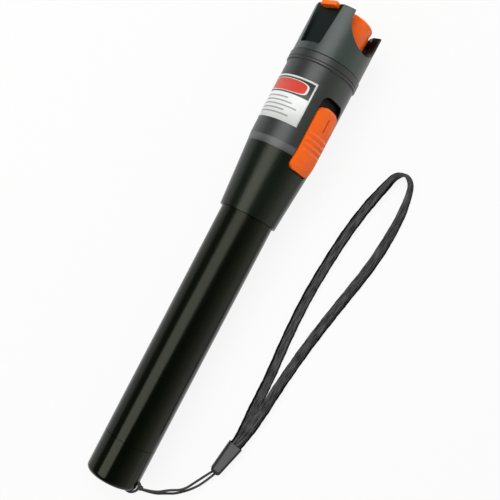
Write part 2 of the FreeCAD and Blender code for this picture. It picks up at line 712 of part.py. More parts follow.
def make_carrier():
    body = new_body("carrier")
    slim = "spigot_bore - running_gap"
    revolve(body, [
        ("0", "z_boss"),
        ("tube_bore - running_gap", "z_boss"),
        ("tube_bore - running_gap", "z_tube_end"),
        ("cone_bore - running_gap", "z_tube_end"),
        ("cone_bore - running_gap", "z_deck"),
        (slim, "z_deck"),
        (slim, "z_carrier"),
        ("0", "z_carrier"),
    ])
    outer = "collar_radius"
    pocket_polygon(body, "XZ_Plane",
                   rectangle(("deck_offset", "z_deck"), (outer, "z_carrier + board_end_gap")),
                   symmetric=True)
    pocket_polygon(body, "YZ_Plane",
                   rectangle(("-1 * trough_half_width", "z_deck + end_block"),
                             ("trough_half_width", "z_carrier - end_block")),
                   "-1 * trough_bottom", length="2 * trough_bottom", reversed_=True)
    pocket_circle(body, "XY_Plane", ("0", "0"), "rivet_radius + running_gap",
                  "z_deck + end_block", length="z_deck + end_block")
    for station in screw_stations():
        pocket_circle(body, "YZ_Plane", ("screw_offset", station), "screw_radius", "deck_offset",
                      length="screw_length - board_thickness")


def screw_stations():
    return ("z_deck + end_block / 2", "z_carrier - end_block / 2")


def make_front_contact():
    body = new_body("front_contact")
    revolve(body, [
        ("0", "z_front"),
        ("button_radius", "z_front"),
        ("button_radius", "z_boss"),
        ("rivet_radius", "z_boss"),
        ("rivet_radius", "z_deck + end_block"),
        ("rivet_head_radius", "z_deck + end_block"),
        ("rivet_head_radius", "z_deck + end_block + button_thickness"),
        ("0", "z_deck + end_block + button_thickness"),
    ])


def make_board():
    body = new_body("driver_board")
    pad_polygon(body, "YZ_Plane",
                rectangle(("-1 * board_half_width", "z_deck + button_thickness + board_end_gap"),
                          ("board_half_width", "z_carrier - board_end_gap / 5")),
                "deck_offset", length="board_thickness")
    for station in screw_stations():
        pocket_circle(body, "YZ_Plane", ("screw_offset", station), "screw_radius + running_gap",
                      reversed_=True)


def make_board_screws():
    """Two pan-head screws in one node, each a solid of its own."""
    shank, head = size("screw_radius"), size("screw_head_radius")
    length, height = size("screw_length"), size("screw_head_height")
    solids = []
    for station in screw_stations():
        seat = vector("deck_top", "screw_offset", station)
        pan = Part.makeCylinder(head, height, seat, X)
        shaft = Part.makeCylinder(shank, length, seat - X * length, X)
        slot = Part.makeBox(height, head * 3, shank / 2, seat + FreeCAD.Vector(
            height / 2, -head * 1.5, -shank / 4))
        solids.append(pan.fuse(shaft).removeSplitter().cut(slot))
    feature_from_shape("board_screws", Part.makeCompound(solids), PEN)


def make_board_parts():
    """The driver's chip, coil, capacitors and resistors, soldered flat on the board."""
    deck, start = size("deck_top"), size("z_deck + end_block + screw_head_radius")
    coil_seat = FreeCAD.Vector(deck, -size("coil_offset"), start + size("coil_radius"))

    def block(across, station, width, length, height):
        corner = FreeCAD.Vector(deck, across - width / 2, start + station)
        return Part.makeBox(height, width, length, corner)

    chip = block(size("chip_offset"), 0, size("chip_width"), size("chip_length"), size("chip_height"))
    solids = [chip, Part.makeCylinder(size("coil_radius"), size("coil_height"), coil_seat, X)]
    edge = size("board_half_width - row_margin")
    for k in range(3):
        station = size("row_start") + k * size("row_pitch")
        for across, height in ((edge, "capacitor_height"), (-edge, "resistor_height")):
            solids.append(block(across, station, size("row_width"), size("row_length"), size(height)))
    feature_from_shape("board_parts", Part.makeCompound(solids), PEN)


# --- collar, head and optics ---------------------------------------------------------------------


def make_collar():
    body = new_body("collar_ring")
    low = "z_collar + line_setback"
    revolve(body, [
        ("collar_spigot", "z_collar - collar_tail_spigot"),
        ("collar_spigot", "z_collar"),
        ("collar_radius - collar_edge", "z_collar"),
        ("collar_radius", "z_collar + collar_edge"),
        ("collar_radius", low),
        ("collar_radius - line_depth", f"{low} + line_width / 2"),
        ("collar_radius", f"{low} + line_width"),
        ("collar_radius", "z_head - collar_edge"),
        ("collar_radius - collar_edge", "z_head"),
        ("collar_spigot", "z_head"),
        ("collar_spigot", "z_head + collar_head_spigot"),
        ("collar_bore", "z_head + collar_head_spigot"),
        ("collar_bore", "z_collar - collar_tail_spigot"),
    ])


def make_head():
    """The head shell: well, two finger notches, thumb recess, tab slot and hinge ears."""
    body = new_body("head_shell")
    port_hole = "port_radius + running_gap"
    socket = "collar_spigot + running_gap"
    revolve(body, [
        (socket, "z_head + seam_gap"),
        ("head_radius", "z_head + seam_gap"),
        ("head_radius", "z_rim"),
        ("well_radius", "z_rim"),
        ("well_radius", "z_well"),
        (port_hole, "z_well"),
        (port_hole, "z_floor"),
        (socket, "z_floor"),
    ])
    blend(body, "Fillet", "head_edge", lambda e: ring_at(e, "head_radius", "z_rim"))
    inner = "sqrt(well_radius ^ 2 - notch_radius ^ 2) - tab_gap"
    centre = ("0", "z_rim - notch_rise")
    mouth = rectangle(("-1 * notch_radius", "z_rim - notch_rise"), ("notch_radius", "z_rim + cut_over"))
    for offset, outwards in ((inner, True), (f"-1 * ({inner})", False)):
        pocket_circle(body, "YZ_Plane", centre, "notch_radius", offset, reversed_=outwards)
        pocket_polygon(body, "YZ_Plane", mouth, offset, reversed_=outwards)
    recess_floor = "head_radius - recess_depth"
    pocket_polygon(body, "XZ_Plane", [
        ("-1 * recess_low_half_width", "z_rim - recess_length"),
        ("recess_low_half_width", "z_rim - recess_length"),
        ("recess_top_half_width", "z_rim + cut_over"),
        ("-1 * recess_top_half_width", "z_rim + cut_over"),
    ], recess_floor, reversed_=True)
    blend(body, "Fillet", "recess_corner", recess_corner_edge)
    tab = "tab_half_width + tab_gap"
    pocket_polygon(body, "XZ_Plane",
                   rectangle((f"-({tab})", "z_rim - tab_thickness - tab_gap"), (tab, "z_rim + cut_over")),
                   "well_radius - cut_over", reversed_=True)
    knuckle = "knuckle_half_width + tab_gap"
    pocket_polygon(body, "XZ_Plane",
                   rectangle((f"-({knuckle})", "z_pin - knuckle_radius - slot_floor_gap"),
                             (knuckle, "z_rim + cut_over")),
                   "-1 * (well_radius - cut_over)")
    pocket_circle(body, "YZ_Plane", ("pin_offset", "z_pin"), "pin_radius + running_gap / 2",
                  symmetric=True, length="2 * pin_half_length + 4 * running_gap")


def recess_corner_edge(edge):
    """True for the two edges along local Y at the thumb recess's lower corners."""
    return (
        along(edge, Y, [(2, "z_rim - recess_length")])
        and edge.CenterOfMass.y < 0
        and abs(abs(edge.CenterOfMass.x) - size("recess_low_half_width")) < 1e-3
    )


def make_hinge_pin():
    pin = doc.addObject("Part::Cylinder", "hinge_pin")
    pin.Label = "hinge_pin"
    pin.setExpression("Radius", bound("pin_radius"))
    pin.setExpression("Height", bound("2 * pin_half_length"))
    across = FreeCAD.Placement(vector("-pin_half_length", "pin_offset", "z_pin"),
                               FreeCAD.Rotation(Y, 90))
    pin.Placement = PEN.multiply(across)
    pieces.append(pin)


def make_dust_cap():
    body = new_body("dust_cap")
    inner = "dust_radius - dust_wall"
    lip = "dust_radius + dust_lip"
    revolve(body, [
        (inner, "z_dust"),
        ("dust_radius - dust_edge", "z_dust"),
        ("dust_radius", "z_dust + dust_edge"),
        ("dust_radius", "z_rim - dust_lip_height - dust_lip"),
        (lip, "z_rim - dust_lip_height"),
        (lip, "z_rim - dust_lip"),
        (f"{lip} - dust_lip", "z_rim"),
        ("0", "z_rim"),
        ("0", "z_ceiling"),
        (inner, "z_ceiling"),
    ])
    skirt = "dust_radius - dust_wall / 2"
    pad_polygon(body, "XY_Plane",
                rectangle(("-1 * tab_half_width", "-1 * tab_reach"),
                          ("tab_half_width", f"-1 * ({skirt})")),
                "z_rim - tab_thickness", length="tab_thickness")
    pad_polygon(body, "XY_Plane",
                rectangle(("-1 * knuckle_half_width", skirt),
                          ("knuckle_half_width", "pin_offset")),
                "z_pin - knuckle_radius", length="knuckle_radius + pin_setback / 2")
    knuckle = new_sketch(body, "YZ_Plane")
    add_circle(knuckle, ("pin_offset", "z_pin"), "knuckle_radius")
    extrude(body, "Pad", knuckle, length="2 * knuckle_half_width", symmetric=True)
    pocket_circle(body, "YZ_Plane", ("pin_offset", "z_pin"), "pin_radius + running_gap",
                  symmetric=True)
    blend(body, "Fillet", "dust_edge",
          lambda e: along(e, Z) and e.CenterOfMass.y < size("cut_over - tab_reach"))


def make_cap_pad():
    body = new_body("cap_pad")
    revolve(body, rectangle(("0", "z_ceiling - pad_thickness"), ("pad_radius", "z_ceiling")))


def make_port():
    body = new_body("port_body")
    bore = "sleeve_radius + running_gap"
    revolve(body, [
        ("port_radius", "z_shank"),
        ("port_radius", "z_well"),
        ("port_flange_radius", "z_well"),
        ("port_flange_radius", "z_well + port_flange_height"),
        ("port_nose_radius", "z_well + port_flange_height"),
        ("port_nose_radius", "z_port - port_edge"),
        ("port_nose_radius - port_edge", "z_port"),
        ("port_mouth_radius + port_edge / 2", "z_port"),
        ("port_mouth_radius", "z_port - port_edge / 2"),
        ("port_mouth_radius", "z_port - port_lip"),
        (bore, "z_port - port_lip"),
        (bore, "z_sleeve"),
        ("port_mouth_radius", "z_sleeve"),
        ("port_mouth_radius", "z_shank"),
    ])


def make_ceramic_sleeve():
    body = new_body("ceramic_sleeve")
    revolve(body, rectangle(("sleeve_bore", "z_sleeve"), ("sleeve_radius", "z_port - port_lip")))


def make_port_nut():
    body = new_body("port_nut")
    sketch = new_sketch(body, "XY_Plane", "z_floor - nut_height")
    flat = "nut_radius * sqrt(3) / 2"
    add_polygon(sketch, [
        ("nut_radius", "0"), ("nut_radius / 2", flat), ("-nut_radius / 2", flat),
        ("-nut_radius", "0"), ("-nut_radius / 2", f"-{flat}"), ("nut_radius / 2", f"-{flat}"),
    ])
    extrude(body, "Pad", sketch, length="nut_height")
    pocket_circle(body, "XY_Plane", ("0", "0"), "port_radius + running_gap", "z_floor",
                  length="2 * nut_height")


def make_diode_holder():
    body = new_body("diode_holder")
    lens_seat = "lens_radius + running_gap"
    can_bore = "can_radius + running_gap"
    revolve(body, [
        (can_bore, "z_flange - holder_tail"),
        ("holder_radius", "z_flange - holder_tail"),
        ("holder_radius", "z_flange"),
        ("collar_bore - running_gap", "z_flange"),
        ("collar_bore - running_gap", "z_flange + holder_flange_height"),
        ("holder_radius", "z_flange + holder_flange_height"),
        ("holder_radius", "z_shank"),
        (lens_seat, "z_shank"),
        (lens_seat, "z_lens"),
        ("can_cap_radius + running_gap", "z_lens"),
        ("can_cap_radius + running_gap", "z_can"),
        (can_bore, "z_can"),
    ])


def make_laser_diode():
    body = new_body("laser_diode")
    revolve(body, [
        ("0", "z_can - can_flange_height"),
        ("can_radius", "z_can - can_flange_height"),
        ("can_radius", "z_can"),
        ("can_cap_radius", "z_can"),
        ("can_cap_radius", "z_can + can_cap_height"),
        ("0", "z_can + can_cap_height"),
    ])
    length = size("z_can - can_flange_height - z_carrier - running_gap")
    leads, back = [], size("z_carrier + running_gap")
    for turn in (0, 120, 240):
        spread = FreeCAD.Rotation(Z, turn).multVec(vector("lead_circle", "0", "0"))
        leads.append(Part.makeCylinder(size("lead_radius"), length,
                                       spread + FreeCAD.Vector(0, 0, back), Z))
    feature_from_shape("diode_leads", Part.makeCompound(leads), PEN)


def make_lens():
    body = new_body("collimator_lens")
    revolve(body, rectangle(("0", "z_lens"), ("lens_radius", "z_shank")))


# --- wrist strap ---------------------------------------------------------------------------------

# Routes in the row frame, in millimetres: (x, y, z) of each corner.
CORD_A_ROUTE = [
    (-88.2, -11.5, 12.9), (-88.2, -16.2, 9.4), (-85.6, -20.4, 7.1), (-83.7, -25.1, 5.3),
    (-78.8, -28.2, 3.5), (-75.8, -30.1, 2.5), (-73.1, -31.8, 1.9),
]
CORD_B_ROUTE = [
    (-88.6, -11.5, 12.0), (-89.0, -16.1, 8.1), (-87.5, -20.0, 5.8), (-86.3, -23.5, 4.0),
    (-82.3, -28.1, 2.7), (-78.2, -30.9, 2.0), (-73.6, -32.9, 1.7),
]
STRAP_ROUTE = [
    (-64.6, -34.1, 1.05), (-57.7, -35.2, 1.02), (-48.3, -34.0, 0.62), (-34.4, -33.8, 0.62),
    (-17.6, -32.7, 0.62), (-0.7, -32.4, 0.62), (14.6, -33.0, 0.62), (28.0, -34.5, 0.62),
    (39.8, -36.6, 0.62), (48.7, -39.1, 0.62), (53.7, -40.2, 0.62), (56.3, -43.9, 0.62),
    (53.9, -47.9, 0.62), (48.5, -48.9, 0.62), (38.8, -49.1, 0.62), (22.0, -47.9, 0.62),
    (3.7, -44.6, 0.62), (-13.6, -41.2, 0.62), (-28.5, -39.1, 0.62), (-38.4, -38.1, 2.0),
    (-47.8, -37.0, 2.1), (-57.2, -35.7, 2.3), (-64.6, -34.1, 2.35),
]
FERRULE_PLACE = FreeCAD.Placement(FreeCAD.Vector(-73.6, -32.3, 0), FreeCAD.Rotation(Z, -11.1))


def rounded_route(corners):
    """Straight runs joined by tangent arcs, each as large as its two runs allow."""
    points = [FreeCAD.Vector(*corner) for corner in corners]
    edges, start, radii = [], points[0], []
    for before, corner, after in zip(points, points[1:], points[2:]):
        into, out = corner - before, after - corner
        trim = 0.45 * min(into.Length, out.Length)
        half_turn = into.getAngle(out) / 2
        radius = trim / math.tan(half_turn)
        into.normalize()
        out.normalize()
        inward = (out - into).normalize()
        arc_start, arc_end = corner - into * trim, corner + out * trim
        middle = corner + inward * (radius / math.cos(half_turn) - radius)
        edges += [Part.LineSegment(start, arc_start).toShape(),
                  Part.Arc(arc_start, middle, arc_end).toShape()]
        start = arc_end
        radii.append(radius)
    edges.append(Part.LineSegment(start, points[-1]).toShape())
    return Part.Wire(edges), radii


def round_section(radius):
    """A round cord's section."""

    def section(origin, direction, _up):
        return Part.Wire([Part.makeCircle(radius, origin, direction)])

    return section


def flat_section(width, height):
    """A flat strip's section: height along up, width across it."""

    def section(origin, direction, up):
        across = direction.cross(up).normalize()
        wide, high = across * (width / 2), up * (height / 2)
        corners = [origin + wide + high, origin - wide + high,
                   origin - wide - high, origin + wide - high]
        return Part.makePolygon(corners + corners[:1])

    return section


def swept(corners, section, up=None, report=None):
    """A solid along a rounded route; a flat section stays level to the up direction."""
    path, radii = rounded_route(corners)
    origin = FreeCAD.Vector(*corners[0])
    direction = (FreeCAD.Vector(*corners[1]) - origin).normalize()
    pipe = Part.BRepOffsetAPI.MakePipeShell(path)
    if up:
        pipe.setBiNormalMode(up)
        up = (up - direction * up.dot(direction)).normalize()
    pipe.add(section(origin, direction, up))
    pipe.build()
    pipe.makeSolid()
    shape = pipe.shape()
    if report:
        print(f"{report}: length {path.Length:.1f}, radii",
              " ".join(f"{r:.1f}" for r in radii), f", volume {shape.Volume:.1f}")
    return shape


def make_strap():
    loop = doc.addObject("Part::Torus", "lanyard_loop")
    loop.Label = "lanyard_loop"
    loop.setExpression("Radius1", bound("loop_radius"))
    loop.setExpression("Radius2", bound("cord_radius"))
    centre = FreeCAD.Placement(vector("loop_offset", "0", "loop_setback"), FreeCAD.Rotation(X, 90))
    loop.Placement = EYE.multiply(centre)
    pieces.append(loop)
    knot = doc.addObject("Part::Sphere", "lanyard_knot")
    knot.Label = "lanyard_knot"
    knot.setExpression("Radius", bound("knot_radius"))
    knot.Placement = EYE.multiply(
        FreeCAD.Placement(vector("knot_offset", "0", "knot_setback"), FreeCAD.Rotation()))
    pieces.append(knot)
    cord = round_section(size("cord_radius"))
    for label, route in (("lanyard_cord_a", CORD_A_ROUTE), ("lanyard_cord_b", CORD_B_ROUTE)):
        feature_from_shape(label, swept(route, cord, report=label))
    strip = flat_section(size("strap_width"), size("strap_thickness"))
    feature_from_shape("lanyard_strap", swept(STRAP_ROUTE, strip, Z, "lanyard_strap"))


def make_strap_ferrule():
    body = new_body("lanyard_ferrule", FERRULE_PLACE)
    pad_polygon(body, "XY_Plane", [
        ("0", "-1 * ferrule_narrow"),
        ("ferrule_length", "-1 * ferrule_wide"),
        ("ferrule_length", "ferrule_wide"),
        ("0", "ferrule_narrow"),
    ], length="ferrule_thickness")
    blend(body, "Fillet", "ferrule_corner", lambda e: along(e, Z, [(0, "0")]))
    pocket_polygon(body, "XY_Plane",
                   rectangle(("ferrule_length - ferrule_mouth", "ferrule_wall - ferrule_wide"),
                             ("ferrule_length + 1", "ferrule_wide - ferrule_wall")),
                   "ferrule_thickness - ferrule_wall",
                   length="ferrule_thickness - 2 * ferrule_wall")


def main():
    make_tail_cap()
    make_tail_seal()
    make_tail_contact()
    make_tube()
    make_cells()
    make_cone()
    make_barrel()
    make_slot_plate()
    make_slider()
    make_lever()
    make_switch_body()
    make_carrier()
    make_front_contact()
    make_board()
    make_board_screws()
    make_board_parts()
    make_collar()
    make_head()
    make_hinge_pin()
    make_dust_cap()
    make_cap_pad()
    make_port()
    make_ceramic_sleeve()
    make_port_nut()
    make_diode_holder()
    make_laser_diode()
    make_lens()
    make_strap()
    make_strap_ferrule()
    doc.recompute()
    for thing in doc.Objects:
        if any(state in ("Invalid", "Error") for state in thing.State):
            raise RuntimeError(f"{thing.Name} failed: {thing.State}")
    for piece in pieces:
        if piece.Shape.isNull() or not piece.Shape.isValid():
            raise RuntimeError(f"{piece.Label} has no valid shape")
    os.makedirs("parts", exist_ok=True)
    for piece in pieces:
        piece.Shape.exportStep(f"parts/{piece.Label}.step")
        print(f"{piece.Label:18s} solids {len(piece.Shape.Solids)} volume {piece.Shape.Volume:9.1f}")


main()
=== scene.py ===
"""Looks of a pen-shaped visual fault locator, laid out as an add-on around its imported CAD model."""

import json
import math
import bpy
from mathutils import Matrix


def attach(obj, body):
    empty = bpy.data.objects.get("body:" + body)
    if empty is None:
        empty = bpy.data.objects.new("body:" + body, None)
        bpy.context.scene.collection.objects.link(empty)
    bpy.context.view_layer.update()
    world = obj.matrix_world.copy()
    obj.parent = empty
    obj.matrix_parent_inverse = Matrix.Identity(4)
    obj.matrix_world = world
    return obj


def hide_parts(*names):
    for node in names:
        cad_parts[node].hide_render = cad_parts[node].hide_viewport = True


bl_info = {
    "name": "Visual fault locator",
    "version": (1, 0, 0),
    "blender": (4, 5, 0),
    "location": "3D View > Sidebar > Fault locator",
    "description": "Finishes, strap, cords, label and stage of a pen-shaped visual fault locator",
    "category": "Object",
}

import bmesh
import bpy
from bpy.props import FloatProperty, FloatVectorProperty, PointerProperty
from bpy.types import Operator, Panel, PropertyGroup
from mathutils import Matrix, Vector

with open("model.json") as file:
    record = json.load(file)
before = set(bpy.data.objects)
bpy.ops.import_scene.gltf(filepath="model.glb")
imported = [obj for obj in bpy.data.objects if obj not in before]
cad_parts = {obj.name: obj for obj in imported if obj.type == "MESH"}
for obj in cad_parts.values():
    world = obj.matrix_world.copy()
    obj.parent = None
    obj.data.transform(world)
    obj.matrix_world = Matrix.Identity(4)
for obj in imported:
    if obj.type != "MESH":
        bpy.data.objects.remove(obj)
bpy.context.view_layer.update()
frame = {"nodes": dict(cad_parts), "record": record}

MM = 0.001
TAIL_END = Vector((-0.0906132, 0.0, 0.0097577))
AXIS = Vector((0.9997543, 0.0, 0.0221675))  # along the pen, from the tail to the head
SWITCH_SIDE = Vector((-0.0153988, -0.7193398, 0.6944877))
HINGE_SIDE = Vector((0.0159460, -0.6946584, -0.7191630))
PEN = Matrix((SWITCH_SIDE, HINGE_SIDE, AXIS)).transposed().to_4x4()
PEN.translation = TAIL_END
UPWARD = AXIS.cross(Vector((0.0, 1.0, 0.0)))
STRAP_SIDE = Vector((0.0, -1.0, 0.0))

# the cords' control points, in millimetres
STRAND_A = [(-88.2, -11.5, 12.9), (-88.2, -16.2, 9.4), (-85.6, -20.4, 7.1), (-83.7, -25.1, 5.3),
            (-78.8, -28.2, 3.5), (-75.8, -30.1, 2.5), (-73.1, -31.8, 1.9)]
STRAND_B = [(-88.6, -11.5, 12.0), (-89.0, -16.1, 8.1), (-87.5, -20.0, 5.8), (-86.3, -23.5, 4.0),
            (-82.3, -28.1, 2.7), (-78.2, -30.9, 2.0), (-73.6, -32.9, 1.7)]
STRAP = [(-64.6, -34.1, 1.05), (-57.7, -35.2, 1.02), (-48.3, -34.5, 0.62), (-34.4, -34.5, 0.62),
         (-17.6, -33.2, 0.62), (-0.7, -32.8, 0.62), (14.5, -33.7, 0.62), (27.9, -35.0, 0.62),
         (39.7, -37.1, 0.62), (48.6, -39.5, 0.62), (53.4, -40.8, 0.62), (55.6, -43.9, 0.62),
         (53.6, -47.3, 0.62), (48.6, -48.7, 0.62), (38.8, -49.7, 0.62), (21.9, -48.8, 0.62),
         (3.6, -45.1, 0.62), (-13.7, -41.8, 0.62), (-28.6, -39.7, 0.62), (-38.4, -38.5, 2.0),
         (-47.8, -37.7, 2.1), (-57.2, -36.3, 2.3), (-64.6, -34.1, 2.35)]
# where the strap stands on its edge, and its roll in degrees at places along it from there
STRAP_EDGEWAYS = Vector((0.0548, -0.0428, 0.0006))
STRAP_ROLL = ((-0.09, 0), (-0.05, 12), (-0.03, 14), (-0.015, 27), (-0.01, 38), (-0.005, 54), (-0.002, 59),
              (0, 74), (0.001, 76), (0.002, 67), (0.004, 59), (0.008, 58), (0.011, 52), (0.015, 42), (0.02, 34),
              (0.03, 12), (0.06, 5), (0.09, 0))
# the strap's section, in halves of its width and thickness: raised selvedges beside a flatter middle
STRAP_SECTION = ((-1.0, -0.5), (-0.9, -1.0), (-0.72, -0.86), (0.0, -0.8), (0.72, -0.86), (0.9, -1.0),
                 (1.0, -0.5), (1.0, 0.5), (0.9, 1.0), (0.72, 0.86), (0.0, 0.8), (-0.72, 0.86),
                 (-0.9, 1.0), (-1.0, 0.5))
# the cord's loop and knot, out from the pen's axis and along it in millimetres, in the plane through the eye
EYE_TURN = 76.0
LOOP = ((6.35, 3.6), (6.35, 1.6), (6.35, -0.1), (7.0, -0.7), (8.5, -0.65), (9.7, 0.05), (10.45, 1.1),
        (10.7, 2.3), (10.45, 3.5), (9.2, 3.75), (7.6, 3.75), (6.35, 3.6))
KNOT, KNOT_TURNS, KNOT_STEPS, KNOT_PITCH = (11.1, 2.5), 3, 24, 0.42
FERRULE = Vector((-0.0736, -0.0323, 0.0))
FERRULE_TURN = -11.1
LABEL_LOW, LABEL_HIGH = 0.1372, 0.1532
LABEL_FROM, LABEL_TO = -90.0, 4.6
LABEL_RADIUS, LABEL_THICKNESS = 0.01282, 0.00009

# where the finishes, the painted highlights and the painted shade change, along the pen from its tail end and out
# from its axis
BEVEL_END = 0.1311
HEAD_SEAM = 0.1629
SEAM_WIDTH = 0.0004
CAP_LIP = 0.1801
HEAD_INSIDE = 0.01235
WEAVE_PITCH = 0.0011
WHITE = (1.0, 1.0, 1.0, 1.0)


def pen_point(turn, radius, along):
    """A point at this many degrees from straight up towards the strap, and this far out and along, in metres."""
    turn = math.radians(turn)
    return TAIL_END + AXIS * along + (UPWARD * math.cos(turn) + STRAP_SIDE * math.sin(turn)) * radius


# --- properties ----------------------------------------------------------------------------------


class FAULT_PG_sizes(PropertyGroup):
    """Sizes that a user would change."""

    strap_width: FloatProperty(
        name="Strap width", description="Width of the woven strap", default=0.0039, unit="LENGTH")
    strap_thickness: FloatProperty(
        name="Strap thickness", description="Thickness of the woven strap", default=0.0012, unit="LENGTH")
    cord_diameter: FloatProperty(
        name="Cord diameter", description="Diameter of the thin cord", default=0.0009, unit="LENGTH")
    camera_height: FloatProperty(
        name="Camera height", description="Height of the camera above the floor", default=0.2795, unit="LENGTH")


class FAULT_PG_colours(PropertyGroup):
    """Colours that a user would change."""

    head: FloatVectorProperty(
        name="Head", description="Moulded head", subtype="COLOR", size=3, default=(0.032, 0.045, 0.041))
    barrel: FloatVectorProperty(
        name="Barrel", description="Moulded barrel and collar", subtype="COLOR", size=3,
        default=(0.027, 0.029, 0.029))
    accent: FloatVectorProperty(
        name="Accent", description="Dust cap and switch slider", subtype="COLOR", size=3, default=(0.98, 0.14, 0.01))
    tube: FloatVectorProperty(
        name="Tube", description="Anodised battery tube", subtype="COLOR", size=3, default=(0.0016, 0.0026, 0.0012))
    cone: FloatVectorProperty(
        name="Cone", description="Anodised cone sleeve", subtype="COLOR", size=3, default=(0.003, 0.006, 0.004))
    paper: FloatVectorProperty(
        name="Label", description="Paper of the label", subtype="COLOR", size=3, default=(0.84, 0.85, 0.84))
    ink: FloatVectorProperty(
        name="Label ink", description="Dark header and ruled lines of the label", subtype="COLOR", size=3,
        default=(0.035, 0.043, 0.042))
    field: FloatVectorProperty(
        name="Label field", description="Plain field in the label's header", subtype="COLOR", size=3,
        default=(0.68, 0.045, 0.02))
    strap: FloatVectorProperty(
        name="Strap", description="Woven strap", subtype="COLOR", size=3, default=(0.06, 0.06, 0.062))
    ferrule: FloatVectorProperty(
        name="Ferrule", description="Clamp that joins strap and cord", subtype="COLOR", size=3,
        default=(0.13, 0.13, 0.133))


# --- shaders -------------------------------------------------------------------------------------


class Value:
    """One output socket; arithmetic on it adds Math nodes to its tree."""

    def __init__(self, tree, socket):
        self.tree, self.socket = tree, socket

    def math(self, operation, *items):
        """A Math node on these items, in their order."""
        node = self.tree.nodes.new("ShaderNodeMath")
        node.operation = operation
        for slot, item in zip(node.inputs, items):
            if isinstance(item, Value):
                self.tree.links.new(item.socket, slot)
            else:
                slot.default_value = item
        return Value(self.tree, node.outputs[0])

    def __add__(self, other):
        return self.math("ADD", self, other)

    def __sub__(self, other):
        return self.math("SUBTRACT", self, other)

    def __rsub__(self, other):
        return self.math("SUBTRACT", other, self)

    def __mul__(self, other):
        return self.math("MULTIPLY", self, other)

    def __truediv__(self, other):
        return self.math("DIVIDE", self, other)

    def __rtruediv__(self, other):
        return self.math("DIVIDE", other, self)

    def __pow__(self, other):
        return self.math("POWER", self, other)

    __radd__ = __add__
    __rmul__ = __mul__

    def then(self, operation, *others):
        """A Math node on this value and the others."""
        return self.math(operation, self, *others)

    def above(self, limit, width=0.02):
        """0 under the limit and 1 over it, with a soft step of this width."""
        return ((self - limit) / width + 0.5).then("MINIMUM", 1.0).then("MAXIMUM", 0.0)


class Nodes:
    """Adds nodes to a shader tree, with Values as links."""

    def __init__(self, tree):
        self.tree = tree
        tree.nodes.clear()

    def node(self, kind, settings=None, output=0, **sockets):
        """Adds a node: its settings first, then the values or links of its sockets by name or place."""
        node = self.tree.nodes.new(kind)
        for name, value in (settings or {}).items():
            setattr(node, name, value)
        for name, value in sockets.items():
            self.feed(node.inputs[int(name[1:]) if name[0] == "_" else name.replace("_", " ")], value)
        return Value(self.tree, node.outputs[output]) if node.outputs else None

    def feed(self, slot, value):
        if isinstance(value, Value):
            self.tree.links.new(value.socket, slot)
        else:
            slot.default_value = value

    def place(self, output="Object"):
        """The coordinates of a point on the piece."""
        return self.node("ShaderNodeTexCoord", output=output)

    def less(self, vector, start):
        return self.node("ShaderNodeVectorMath", {"operation": "SUBTRACT"}, _0=vector, _1=start)

    def on_pen(self):
        """Towards the switch, towards the hinge and along the pen's own axis, in metres."""
        return self.split(self.node(
            "ShaderNodeVectorRotate", {"rotation_type": "EULER_XYZ"}, _0=self.less(self.place(), TAIL_END),
            Rotation=PEN.inverted().to_euler()))

    def on_sheet(self):
        """Along and across a piece, from its own UV map."""
        return self.split(self.node("ShaderNodeUVMap", {"uv_map": "UVMap"}))[:2]

    def split(self, vector):
        """The three parts of a vector."""
        return [self.node("ShaderNodeSeparateXYZ", output=part, _0=vector) for part in "XYZ"]

    def join(self, x, y, z):
        return self.node("ShaderNodeCombineXYZ", None, _0=x, _1=y, _2=z)

    def noise(self, vector, scale, detail=3.0, roughness=0.5):
        return self.node("ShaderNodeTexNoise", None, Vector=vector, Scale=scale, Detail=detail, Roughness=roughness)

    def mix(self, amount, one, two):
        return self.node("ShaderNodeMix", {"data_type": "RGBA"}, 2, _0=amount, _6=one, _7=two)

    def bump(self, height, distance, strength=1.0):
        return self.node("ShaderNodeBump", None, Height=height, Distance=distance, Strength=strength)

    def behind(self):
        """1 for the rays that may see the plain white background, and 0 for the rest."""
        camera, glossy, clear = (self.node("ShaderNodeLightPath", output=ray) for ray in (
            "Is Camera Ray", "Is Glossy Ray", "Is Transmission Ray"))
        return camera.then("MAXIMUM", glossy.then("MAXIMUM", clear))


class Finish(Nodes):
    """A procedural material on a Principled shader."""

    def __init__(self, name):
        self.material = bpy.data.materials.new(name)
        self.material.use_nodes = True
        super().__init__(self.material.node_tree)
        self.shader = self.node("ShaderNodeBsdfPrincipled")
        self.surface = self.shader.socket.node
        self.output = self.tree.nodes.new("ShaderNodeOutputMaterial")
        self.feed(self.output.inputs[0], self.shader)

    def set(self, **values):
        """Feeds the shader's sockets by name, with spaces as underscores."""
        for name, value in values.items():
            self.feed(self.surface.inputs[name.replace("_", " ")], value)
        return self


def opaque(colour, factor=1.0):
    """A colour with its brightness multiplied, as a shader socket takes it."""
    return tuple(channel * factor for channel in colour[:3]) + (1.0,)


def mottled(finish, amount, colour, contrast):
    """A colour that this amount moves down and up by the contrast."""
    return finish.mix(amount, opaque(colour, 1 - contrast), opaque(colour, 1 + contrast))


def moulding(finish):
    """Flow marks with the grain, the fine grain by itself, and patches of wear."""
    place = finish.place()
    grain = finish.noise(place, 1800.0, 2.0)
    return finish.noise(place, 45.0, 2.0) * 0.7 + grain * 0.3, grain, finish.noise(place, 160.0, 4.0, 0.6)


